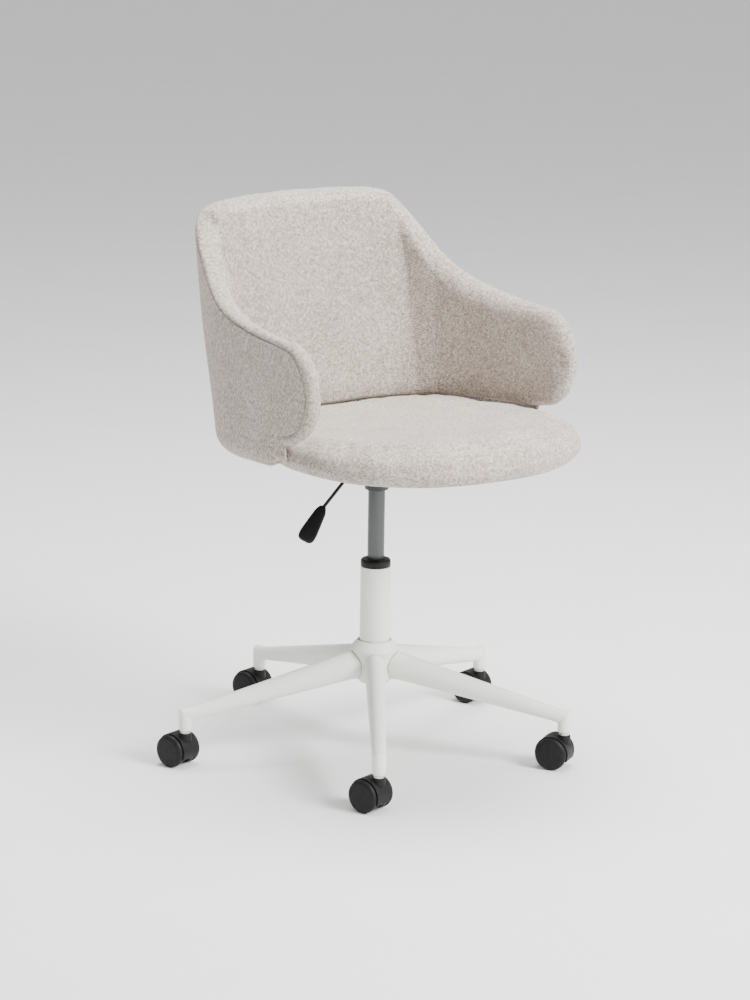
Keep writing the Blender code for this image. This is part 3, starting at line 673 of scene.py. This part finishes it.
def pillow(name, stations, lower, upper, small_r, rows=46):
    """Closed pad between two heights. Its padded edge rolls over on to the outside of the shell."""
    low_line = np.array([(math.copysign(length_at(abs(s)), s), lower(s))
                         for s in stations if abs(s) <= ARM_STATION])
    points = []
    hidden = []
    for s in stations:
        z0 = lower(s)
        z1 = upper(s)
        along = math.copysign(length_at(abs(s)), s)
        for k in range(rows):
            z = z0 + (z1 - z0) * 0.5 * (1 - math.cos(math.pi * k / (rows - 1)))
            t = rim_distance(s, z)
            other = distance_to(low_line, along, z)
            seam = seam_distance(s, z)
            outer = roll(t, OUTER_ROLL, OUTER_ROLL) + SEAM_STEP * smoothstep((t - seam) / 3.5)
            thick = pad_thickness(s, z)
            inner = thick - roll(t, thick - OUTER_ROLL, INNER_ROLL_LENGTH) - roll(other, small_r, small_r)
            if t < 0.6:
                inner = outer = OUTER_ROLL
            points.append(shell_point(s, z, max(inner, outer)))
            points.append(shell_point(s, z, outer))
            hidden.append(0.0)
            hidden.append(1.0 if t > 6.0 else 0.0)
    columns = len(stations)
    faces = []

    def vertex(i, k, sheet):
        return 2 * (i * rows + k) + sheet

    for i in range(columns - 1):
        for k in range(rows - 1):
            for sheet in (0, 1):
                face = [vertex(i, k, sheet), vertex(i + 1, k, sheet), vertex(i + 1, k + 1, sheet),
                        vertex(i, k + 1, sheet)]
                faces.append(face if sheet else face[::-1])
        for k in (0, rows - 1):
            faces.append([vertex(i, k, 0), vertex(i + 1, k, 0), vertex(i + 1, k, 1), vertex(i, k, 1)])
    for i in (0, columns - 1):
        for k in range(rows - 1):
            faces.append([vertex(i, k, 0), vertex(i, k + 1, 0), vertex(i, k + 1, 1), vertex(i, k, 1)])
    obj = mesh_from(name, points, faces, FABRIC)
    marks = tree_of([world(p) for p in points])
    weld(obj.data, 0.0001)
    return obj, marks, hidden


def pad_bottom(station):
    y = shell_point(abs(station), CURL_TOP_Z + 5, 30.0)[1]
    return seat_top(y) - 2.0


def arm_lower(station):
    s = abs(station)
    if s <= ARM_STATION:
        low = pad_bottom(s)
        return low + (NOSE_Z - NOSE_DOWN - low) * smoothstep((s - 6.74) / 0.26)
    return NOSE_Z - nose_half(s, NOSE_DOWN)


def arm_upper(station):
    s = abs(station)
    if s <= ARM_STATION:
        return rim_height(s)
    return NOSE_Z + nose_half(s, NOSE_UP)


def nose_columns():
    """Stations past the joint, close together towards the tip."""
    steps = [ARM_STATION + NOSE_REACH * math.sin(math.radians(a)) for a in range(6, 86, 6)]
    return steps + [ARM_STATION + NOSE_REACH * 0.9995]


def build_lining():
    """The padded inside of the back and arms, with its rolled edge, creased where the arms begin."""
    half = [ARM_STATION * i / 56 for i in range(1, 57)] + nose_columns()
    stations = [-s for s in reversed(half)] + [0.0] + half
    obj, marks, hidden = pillow("padded_lining", stations, arm_lower, arm_upper, 6.0)
    remesh(obj, LINING_VOXEL)
    smooth(obj, 0.5, 4)
    held = [hidden[marks.find(v.co)[1]] for v in obj.data.vertices]
    puff(obj, held, PUFF_PRESSURE, 4.0)
    subdivide(obj)
    for side in (1, -1):
        line = []
        for i in range(CREASE_POINTS):
            share = i / (CREASE_POINTS - 1)
            z = CREASE_FOOT_Z + CREASE_HEIGHT * share
            station = CREASE_STATION + 0.3 * share
            x, y, height = shell_point(station, z, pad_thickness(station, z))
            line.append(world((side * x, y, height)))
        press_seam(obj, line, 2.0, 3.0)
        press_seam(obj, line, 2.5, 14.0)
    ripple(obj, 0.5, 14.0, 3.1)
    shade(obj, 180)
    finish_piece(obj, "seat", ["back_pad", "arm_pad_left", "arm_pad_right"])


# ---------------------------------------------------------------------------------- outer cover

SEAM_GAP = 0.5           # between the seam and the cover's edge
COVER_SETBACK = 0.14     # in stations: the cover's front edge stands back under the arm end
COVER_FOOT_RISE = 7.5    # its lower edge climbs that much towards the front


def edge_room(station, z):
    """Positive inside the outer cover, zero on its upper edge."""
    return rim_distance(station, z) - seam_distance(station, z) - SEAM_GAP


def contour_height(station, upward):
    """Height on this station where the cover's edge runs."""
    if station <= ARM_STATION:
        low, high = 640.0, rim_height(station)
    else:
        low = NOSE_Z
        high = NOSE_Z + (nose_half(station, NOSE_UP) if upward else -nose_half(station, NOSE_DOWN))
    for _ in range(30):
        middle = (low + high) / 2
        if edge_room(station, middle) > 0:
            low = middle
        else:
            high = middle
    return (low + high) / 2


def cover_depth(station, z):
    """Tucks in at the seam and draws in towards the seat at its front edge."""
    depth = 3.0 * math.exp(-(edge_room(station, z) / 1.3) ** 2)
    if station <= ARM_STATION:
        front = smoothstep((station - 6.55) / 0.45)
        low = smoothstep((600 - z) / 40)
        depth += 15.0 * front * low
        tuck = smoothstep((604 - z) / 16) * smoothstep((z - 560) / 22)
        depth += 3.0 * math.exp(-((station - 6.80) / 0.05) ** 2) * tuck
    return depth


def build_outer_cover():
    far = ARM_STATION + NOSE_REACH
    tip = station_at(length_at(far) - seam_distance(far, NOSE_Z) - SEAM_GAP)
    step_z = contour_height(7.0001, False)
    levels = [(i / 16) ** 1.15 for i in range(16)]
    main = [ARM_STATION * (1 - (1 - i / 90) ** 1.25) for i in range(91)]
    nose = [ARM_STATION + (tip - ARM_STATION) * math.sin(math.radians(a)) for a in range(6, 91, 6)]
    shares = [0.5 * (1 - math.cos(math.pi * k / 40)) for k in range(41)]
    columns = []
    for s in main + nose:
        top = contour_height(s, True)
        bottom = step_z if s <= ARM_STATION else contour_height(s, False)
        if s >= tip - 1e-6:
            top = bottom = NOSE_Z + 3.0
        rows = [bottom + (top - bottom) * share for share in shares]
        foot = SHELL_BOTTOM_Z + COVER_FOOT_RISE * smoothstep((s - 4.6) / 2.2)
        low = [foot + (step_z - foot) * level if s <= ARM_STATION else None for level in levels]
        columns.append((s, low + rows))
    points = []
    index = {}
    faces = []
    for side in (1, -1):
        for i, (s, heights) in enumerate(columns):
            for k, z in enumerate(heights):
                if z is None:
                    continue
                back = COVER_SETBACK * smoothstep((s - 6.4) / 0.6) * smoothstep((592 - z) / 24)
                x, y, height = shell_point(s - back, z, cover_depth(s, z))
                index[side, i, k] = len(points)
                points.append((side * x, y, height))
        for i in range(len(columns) - 1):
            for k in range(len(columns[0][1]) - 1):
                keys = [(side, i, k), (side, i + 1, k), (side, i + 1, k + 1), (side, i, k + 1)]
                if all(key in index for key in keys):
                    face = [index[key] for key in keys]
                    faces.append(face if side > 0 else face[::-1])
    obj = mesh_from("outer_cover", points, faces, FABRIC)
    weld(obj.data, 0.00006)
    ripple(obj, 0.6, 9.0, 7.7)
    solid = obj.modifiers.new("thickness", 'SOLIDIFY')
    solid.thickness = 3.0 * MM
    solid.offset = -1.0
    shade(obj, 60)
    finish_piece(obj, "seat", ["shell_outer_cover", "shell_core"])


# --------------------------------------------------------------------------------- seat cushion

SEAT_HALF_W = 254.5
SEAT_FRONT_DEPTH = 226.0
SEAT_CENTRE_Y = -130.0
SEAT_EXPONENT = 2.2
SEAT_SIDE_DEPTH = 30.0   # the cushion's side inside the shell, under the pads
SEAT_FRONT_SIDE_DEPTH = 17.5
SEAT_LAST_STATION = 6.9
SEAT_MID_Z = 557.0
SEAT_BOTTOM_Z = 525.5
SEAT_SEAM_Z = 536.5
SEAT_ROUNDING = 44.0


def seat_ring(inset, height, steps=48):
    """Closed outline of the seat; height is a function of y."""
    half = []
    for i in range(steps + 1):
        turn = math.pi / 2 * i / steps
        power = 2.0 / SEAT_EXPONENT
        x = (SEAT_HALF_W - inset) * math.sin(turn) ** power
        y = SEAT_CENTRE_Y - (SEAT_FRONT_DEPTH - inset) * math.cos(turn) ** power
        half.append((x, y))
    side = steps * 5 // 4
    for i in range(1, side + 1):
        station = SEAT_LAST_STATION * (1 - i / side)
        share = smoothstep((SEAT_LAST_STATION - station) / 0.9)
        depth = SEAT_FRONT_SIDE_DEPTH + (SEAT_SIDE_DEPTH - SEAT_FRONT_SIDE_DEPTH) * share + inset
        x, y, _ = shell_point(station, CURL_TOP_Z + 2, depth)
        half.append((x, y))
    ring = half + [(-x, y) for x, y in reversed(half[1:-1])]
    return [(x, y, height(y)) for x, y in ring]


def build_seat():
    rings = []
    centre_y = -90.0
    crest = seat_ring(SEAT_ROUNDING, lambda y: seat_top(y) + 1.0)
    for share, rise in ((0.25, -4.5), (0.5, -3.5), (0.75, -1.5), (0.9, 0.2)):
        rings.append([(x * share, centre_y + (y - centre_y) * share,
                       seat_top(centre_y + (y - centre_y) * share) + rise) for x, y, _ in crest])
    rings.append(crest)
    for i in range(1, 8):
        turn = math.pi / 2 * i / 7
        inset = SEAT_ROUNDING * (1 - math.sin(turn))
        share = math.cos(turn)
        rings.append(seat_ring(inset, lambda y, q=share: SEAT_MID_Z + (seat_top(y) + 1.0 - SEAT_MID_Z) * q))
    for i in range(1, 7):
        turn = math.radians(68) * i / 6
        inset = CURL_R * (1 - math.cos(turn))
        z = SEAT_MID_Z - (SEAT_MID_Z - SEAT_BOTTOM_Z) * math.sin(turn) / 0.927
        rings.append(seat_ring(inset, lambda y, q=z: q))
    obj = loft("seat_pad", rings, FABRIC)
    remesh(obj, SEAT_VOXEL)
    smooth(obj, 0.5, 3)
    held = []
    for v in obj.data.vertices:
        z = (v.co.z - AXIS.z) / MM
        held.append(1.0 - smoothstep((z - 536) / 22))
    puff(obj, held, PUFF_PRESSURE, 7.0)
    subdivide(obj)
    line = [world(p) for p in seat_ring(6.0, lambda y: SEAT_SEAM_Z, 150)]
    press_seam(obj, line, 1.3, 2.2)
    ripple(obj, 0.8, 10.0, 1.3)
    shade(obj, 180)
    finish_piece(obj, "seat", ["seat_cushion"])


def build_dust_cover():
    """Thin cloth stapled under the seat."""
    ring = seat_ring(30.0, lambda y: 525.2, 24)
    points = [(0.0, -100.0, 526.3)] + ring
    faces = [(0, i, i % len(ring) + 1) for i in range(1, len(ring) + 1)]
    obj = mesh_from("dust_cover", points, faces, DUST_COVER)
    solid = obj.modifiers.new("thickness", 'SOLIDIFY')
    solid.thickness = 0.8 * MM
    shade(obj)
    finish_piece(obj, "seat", ["seat_under_cover"])


# ------------------------------------------------------------------------------------------- base

POST_CIRCLE_R = 327.5
POST_R = 11.5
ELBOW_Z = 88.5
ROOT_Z = 149.0
LEG_START_R = 44.0
LEG_START_Z = 147.8
LEG_HALF_W = 17.0
LEG_HALF_H = 24.2
TUBE_R = 25.0
TUBE_BORE_Z = 121.0
HUB_PROFILE = [(27.3, 190.0), (29.5, 189.7), (39.3, 178.6), (40.4, 177.0), (40.5, 175.6), (39.8, 173.6),
               (37.6, 168.5), (35.0, 161.8), (33.1, 155.0), (32.0, 148.0), (31.7, 142.0), (31.7, 128.0),
               (31.2, 125.6), (29.6, 123.0), (27.7, 122.0), (25.35, 122.0), (25.35, 184.0), (27.3, 186.0)]


HUB_OUTER_POINTS = 14     # the first of them run down the hub's outside


def build_hub():
    hub = lathe("hub", HUB_PROFILE, POWDER, ring=True, steps=96)
    finish_piece(hub, "base", ["base_hub"])


def leg_ring(angle, reach, z, up, half_w, half_h, count=40):
    outward = Vector((math.sin(angle), -math.cos(angle), 0))
    sideways = Vector((math.cos(angle), math.sin(angle), 0))
    tall = (outward * up[0] + Vector((0, 0, up[1]))) * half_h
    centre = outward * reach + Vector((0, 0, z))
    return [centre + sideways * (half_w * math.cos(TAU * i / count)) + tall * math.sin(TAU * i / count)
            for i in range(count)]


def hub_radius(z):
    outside = HUB_PROFILE[:HUB_OUTER_POINTS][::-1]
    heights = [p[1] for p in outside]
    radii = [p[0] for p in outside]
    return float(np.interp(z, heights, radii))


def root_ring(angle, proud, half_w, half_h, count=40):
    """Leg section where it meets the hub, that far proud of the hub's surface."""
    outward = Vector((math.sin(angle), -math.cos(angle), 0))
    sideways = Vector((math.cos(angle), math.sin(angle), 0))
    ring = []
    for i in range(count):
        across = half_w * math.cos(TAU * i / count)
        z = ROOT_Z + half_h * math.sin(TAU * i / count)
        reach = math.sqrt(hub_radius(z) ** 2 - across ** 2) + proud
        ring.append(outward * reach + sideways * across + Vector((0, 0, z)))
    return ring


def build_leg(number, angle):
    """Oval tube tapering to a round one, mitred at the elbow, with a thin groove round its root."""
    mitre = math.sqrt(0.5)
    rings = [root_ring(angle, -2.0, 13.6, 21.6), root_ring(angle, 1.5, 13.6, 21.6),
             root_ring(angle, 1.6, 16.9, 24.6), root_ring(angle, 2.8, 17.4, 25.1)]
    for i in range(13):
        share = i / 12
        reach = LEG_START_R + (POST_CIRCLE_R - 13.0 - LEG_START_R) * share
        z = LEG_START_Z + (ELBOW_Z + 1.4 - LEG_START_Z) * share
        half_w = LEG_HALF_W + (POST_R - LEG_HALF_W) * share
        half_h = LEG_HALF_H + (POST_R - LEG_HALF_H) * share
        rings.append(leg_ring(angle, reach, z, (0, 1), half_w, half_h))
    for back, drop, slimmer, tall in ((1.2, 0.3, 0.0, 1.38), (0.5, 1.1, 0.3, 1.35), (0.0, 1.9, 0.0, 1.38)):
        rings.append(leg_ring(angle, POST_CIRCLE_R - back, ELBOW_Z - drop, (mitre, mitre),
                              POST_R - slimmer, POST_R * tall))
    for z, radius in ((ELBOW_Z - 14, 11.4), (70.0, 11.2), (64.6, 11.0), (62.8, 10.4), (62.1, 9.4)):
        rings.append(leg_ring(angle, POST_CIRCLE_R, z, (1, 0), radius, radius))
    leg = loft(f"tube_leg_{number}", rings, POWDER)
    shade(leg, 32)
    finish_piece(leg, "base", [f"leg_{number}"])


def build_base():
    build_hub()
    for number in range(1, 6):
        build_leg(number, math.pi + TAU * (number - 1) / 5)
    tube_profile = [(23.4, 316.0), (24.3, 316.0), (24.9, 315.6), (TUBE_R, 314.8), (TUBE_R, 119.2),
                    (24.4, 118.2), (5.8, 118.0), (5.8, TUBE_BORE_Z), (23.2, TUBE_BORE_Z)]
    column = lathe("column", tube_profile, POWDER, ring=True, steps=96)
    finish_piece(column, "base", ["column_tube"])
    bush_profile = [(14.4, 328.0), (15.4, 329.0), (21.0, 329.0), (23.4, 328.3), (24.7, 326.6),
                    (TUBE_R, 324.6), (TUBE_R, 317.4), (24.6, 316.5), (22.9, 316.3), (22.9, 228.0),
                    (14.4, 228.0)]
    bush = lathe("bush", bush_profile, PLASTIC, ring=True, steps=96)
    finish_piece(bush, "base", ["guide_bush"])
    cylinder_profile = [(4.5, 500.0), (12.4, 500.0), (13.4, 498.0), (14.0, 445.0), (14.0, 245.0),
                        (13.4, 244.0), (11.0, 244.0), (11.0, 450.0), (4.5, 452.0)]
    cylinder = lathe("gas_tube", cylinder_profile, SATIN, ring=True, steps=96)
    finish_piece(cylinder, "seat", ["gas_cylinder"])


# ------------------------------------------------------------------------------------- mechanism

def build_mechanism():
    socket_profile = [(14.4, 496.7), (20.0, 496.7), (20.0, 449.0), (19.4, 447.5), (18.6, 447.0),
                      (14.4, 447.0)]
    socket = lathe("tilt_socket", socket_profile, PAINTED, ring=True, steps=96)
    finish_piece(socket, "seat", ["taper_socket"])
    for node in ("mechanism_housing", "seat_plate"):
        obj = frame["nodes"][node]
        add_bevel(obj, 0.8, 2)


LEVER_Z = 509.0
ROD_R = 2.9
# distance along the paddle, half its width, half its thickness
PADDLE_SECTIONS = [(-4.5, 4.6, 4.4), (-3.6, 5.5, 5.2), (0.0, 7.4, 5.7), (3.0, 8.7, 5.9), (8.0, 9.8, 6.1),
                   (15.0, 10.7, 6.2), (25.0, 11.9, 6.3), (35.0, 13.1, 6.1), (44.0, 14.0, 5.8),
                   (50.0, 14.2, 5.5), (55.0, 13.7, 4.9), (58.5, 12.3, 4.2), (60.8, 10.0, 3.2),
                   (62.0, 7.0, 1.9)]


def build_lever():
    bend = Vector((-24.0, 0, LEVER_Z))
    grip = Vector((-127.0, -20.0, 434.0))
    slope = (grip - bend).normalized()
    turned = [Vector((5, 0, LEVER_Z))]
    for i in range(9):
        share = i / 8
        turned.append(bend + Vector((10.0 * (1 - share) ** 2, 0, 0)) + slope * (10.0 * share ** 2))
    turned.append(grip + slope * 13)
    rod = tube("release_rod", turned, ROD_R, PAINTED)
    finish_piece(rod, "lever", ["lever_rod"])
    along = Vector((-0.66, -0.12, -0.74)).normalized()
    facing = Vector((-0.60, -0.72, 0.35))
    across = along.cross(facing - along * facing.dot(along)).normalized()
    upward = across.cross(along)
    rings = []
    for distance, half_w, half_t in PADDLE_SECTIONS:
        ring = []
        for i in range(36):
            turn = TAU * i / 36
            c = math.copysign(abs(math.cos(turn)) ** 0.8, math.cos(turn))
            s = math.copysign(abs(math.sin(turn)) ** 0.8, math.sin(turn))
            ring.append(grip + along * distance + across * (half_w * c) + upward * (half_t * s))
        rings.append(ring)
    handle = loft("lever_paddle", rings, PLASTIC)
    shade(handle, 60)
    finish_piece(handle, "lever", ["lever_handle"])


# ---------------------------------------------------------------------------------------- casters

WHEEL_R = 27.0
TRAIL = 16.0
HOOD_R = 28.9
HOOD_INNER_R = 26.2
HOOD_HALF_W = 17.5
WEB_HALF_W = 6.4
BOSS_PROFILE = [(0, 57.5), (8.4, 57.5), (9.6, 57.0), (10.4, 55.6), (10.6, 50.0), (10.6, 44.0), (0, 44.0)]
WHEEL_PROFILE = [(0, 26.7), (19.8, 26.7), (22.0, 26.4), (24.4, 25.3), (26.2, 23.7), (26.9, 21.6),
                 (27.0, 20.0), (26.8, 18.9), (26.2, 18.3), (25.6, 18.3), (25.6, 7.0), (3.4, 7.0),
                 (3.4, 25.0), (0, 25.0)]


def arc(radius, start, stop, count):
    turns = [math.radians(start + (stop - start) * i / (count - 1)) for i in range(count)]
    return [(radius * math.cos(turn), WHEEL_R + radius * math.sin(turn)) for turn in turns]


def side_plate(name, outline, half_w, material):
    """Outline in y and z, as wide as twice half_w along x."""
    return loft(name, [[(x, TRAIL + y, z) for y, z in outline] for x in (-half_w, half_w)], material)


def spin_about_axle(name, profile, material, side, steps=72):
    """Turned about the axle: the profile is (radius, distance from the middle plane)."""
    points = []
    faces = []
    rows = len(profile)
    for i in range(steps):
        turn = TAU * i / steps
        for radius, x in profile:
            points.append((side * x, TRAIL + radius * math.cos(turn), WHEEL_R + radius * math.sin(turn)))
    for i in range(steps):
        j = (i + 1) % steps
        for k in range(rows):
            m = (k + 1) % rows
            faces.append((i * rows + k, i * rows + m, j * rows + m, j * rows + k))
    obj = mesh_from(name, points, faces, material)
    weld(obj.data)
    shade(obj)
    return obj


def build_caster(number):
    low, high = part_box(f"caster_{number}_stem")
    post = Vector(((low.x + high.x) / 2, (low.y + high.y) / 2, 0))
    heading = math.radians(30.0 if number == 4 else 14.5)
    place = Matrix.Translation(post) @ Matrix.Rotation(heading, 4, 'Z') @ Matrix.Translation(-AXIS)
    pieces = []
    outline = arc(HOOD_R, -25, 205, 49) + arc(HOOD_INNER_R, 205, -25, 45)
    hood = side_plate(f"hood_{number}", outline, HOOD_HALF_W, WHEEL)
    add_bevel(hood, 0.9)
    outline = arc(HOOD_R - 1.4, -22, 202, 40) + arc(12.0, 215, 325, 9)
    web = side_plate(f"web_{number}", outline, WEB_HALF_W, WHEEL)
    boss = lathe(f"boss_{number}", BOSS_PROFILE, WHEEL, steps=48)
    pieces.append((hood, f"caster_{number}", [f"caster_{number}_hood"]))
    pieces.append((web, f"caster_{number}", []))
    pieces.append((boss, f"caster_{number}", []))
    for side, label in ((-1, "left"), (1, "right")):
        wheel = spin_about_axle(f"wheel_{number}_{label}", WHEEL_PROFILE, WHEEL, side)
        pieces.append((wheel, f"caster_{number}_wheel_{label}", [f"caster_{number}_wheel_{label}"]))
    for obj, body, nodes in pieces:
        obj.data.transform(place)
        finish_piece(obj, body, nodes)


# ------------------------------------------------------------------------------------------ build

def dress_cad_nodes():
    looks = {"thrust_bearing": STEEL, "piston_rod": STEEL, "retaining_clip": STEEL, "release_button": STEEL,
             "lever_pivot_pin": STEEL, "rod_gland": PLASTIC, "mechanism_housing": PAINTED,
             "seat_plate": PAINTED, "seat_board": PLY}
    for i in range(1, 6):
        looks[f"caster_{i}_stem"] = STEEL
        looks[f"caster_{i}_axle"] = STEEL
    for i in range(1, 5):
        looks[f"plate_bolt_{i}"] = STEEL
    for node, material in looks.items():
        mesh = frame["nodes"][node].data
        mesh.materials.clear()
        mesh.materials.append(material)


add_camera()
add_stage()
dress_cad_nodes()
build_base()
build_mechanism()
build_lever()
for caster_number in range(1, 6):
    build_caster(caster_number)
build_outer_cover()
build_lining()
build_seat()
build_dust_cover()

bpy.context.view_layer.update()
